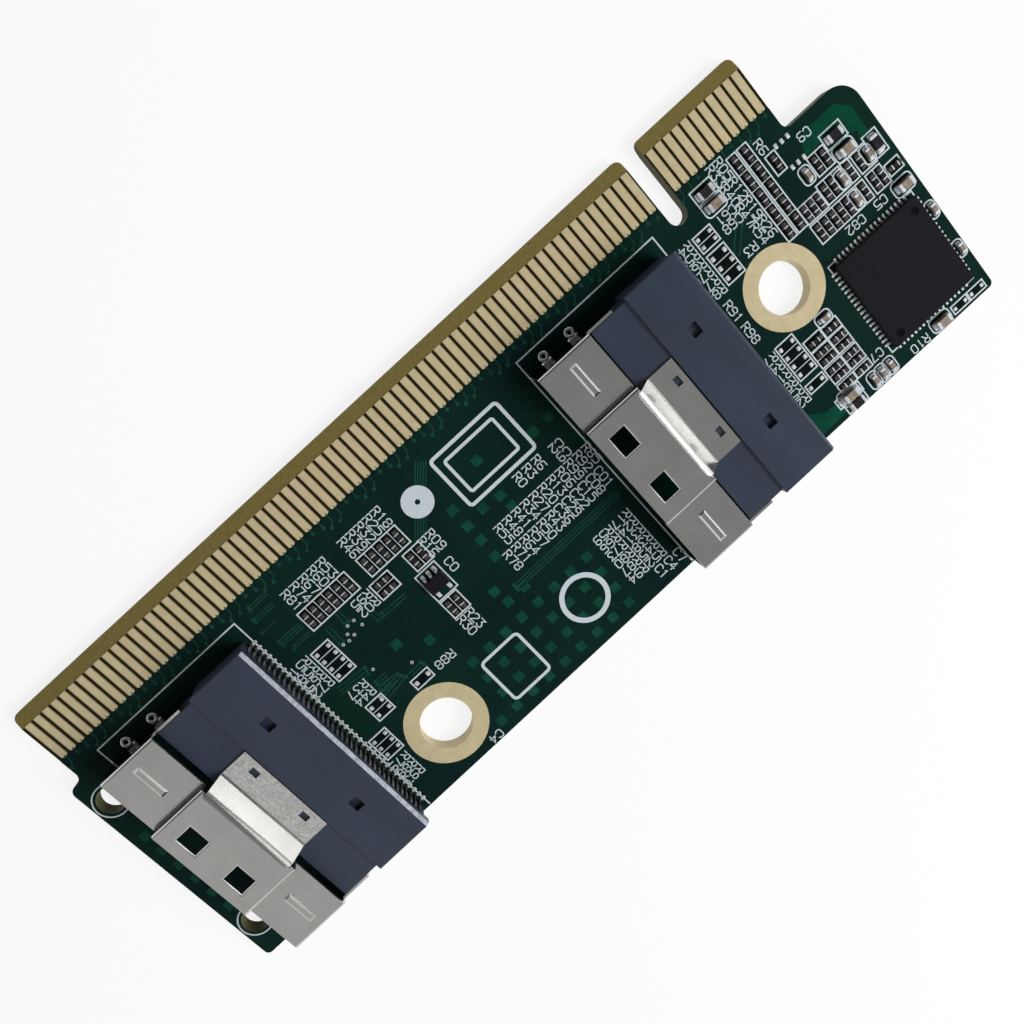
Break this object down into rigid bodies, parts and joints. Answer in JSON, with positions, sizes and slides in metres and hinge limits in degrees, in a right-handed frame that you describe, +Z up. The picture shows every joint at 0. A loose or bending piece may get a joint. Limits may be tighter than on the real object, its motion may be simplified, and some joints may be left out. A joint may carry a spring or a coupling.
{
  "type": "pcie adapter card",
  "caption": "Green plug-in circuit card with a notched gold contact edge, two low right-angle cable receptacles in metal shells, plated mount holes and small chips.",
  "frame": {"origin": "on the underside, on the tip line of the plug-in edge, at the middle of the key notch", "axes": "+X along the plug-in edge towards its long row of fingers, +Y from the tip into the board, +Z up out of the face with the receptacles"},
  "size_m": [0.0931, 0.0321, 0.0069],
  "materials": {
    "board": "dark green solder mask, satin",
    "gold": "matte gold plating",
    "housing": "moulded, fine grain",
    "contact": "plated strip",
    "shell": "satin sheet",
    "chip": "moulded, fine grain",
    "tin": "tinned",
    "ceramic": "fired ceramic",
    "black_part": "fired ceramic"
  },
  "bodies": {
    "root": {"circuit_board": "board", "gold_fingers_top": "gold", "gold_fingers_bottom": "gold", "mount_ring_one": "gold", "mount_ring_two": "gold", "port_one_housing": "housing", "port_two_housing": "housing", "port_one_upper_contacts": "contact", "port_one_lower_contacts": "contact", "port_two_upper_contacts": "contact", "port_two_lower_contacts": "contact", "port_one_shell": "shell", "port_two_shell": "shell", "clock_chip_body": "chip", "logic_chip_body": "chip", "clock_chip_leads": "tin", "clock_chip_pad": "tin", "logic_chip_leads": "tin", "large_capacitor_bodies": "ceramic", "small_capacitor_bodies": "ceramic", "large_capacitor_ends": "tin", "small_capacitor_ends": "tin", "black_chip_ends": "tin", "black_chip_bodies": "black_part"}
  },
  "joints": []
}
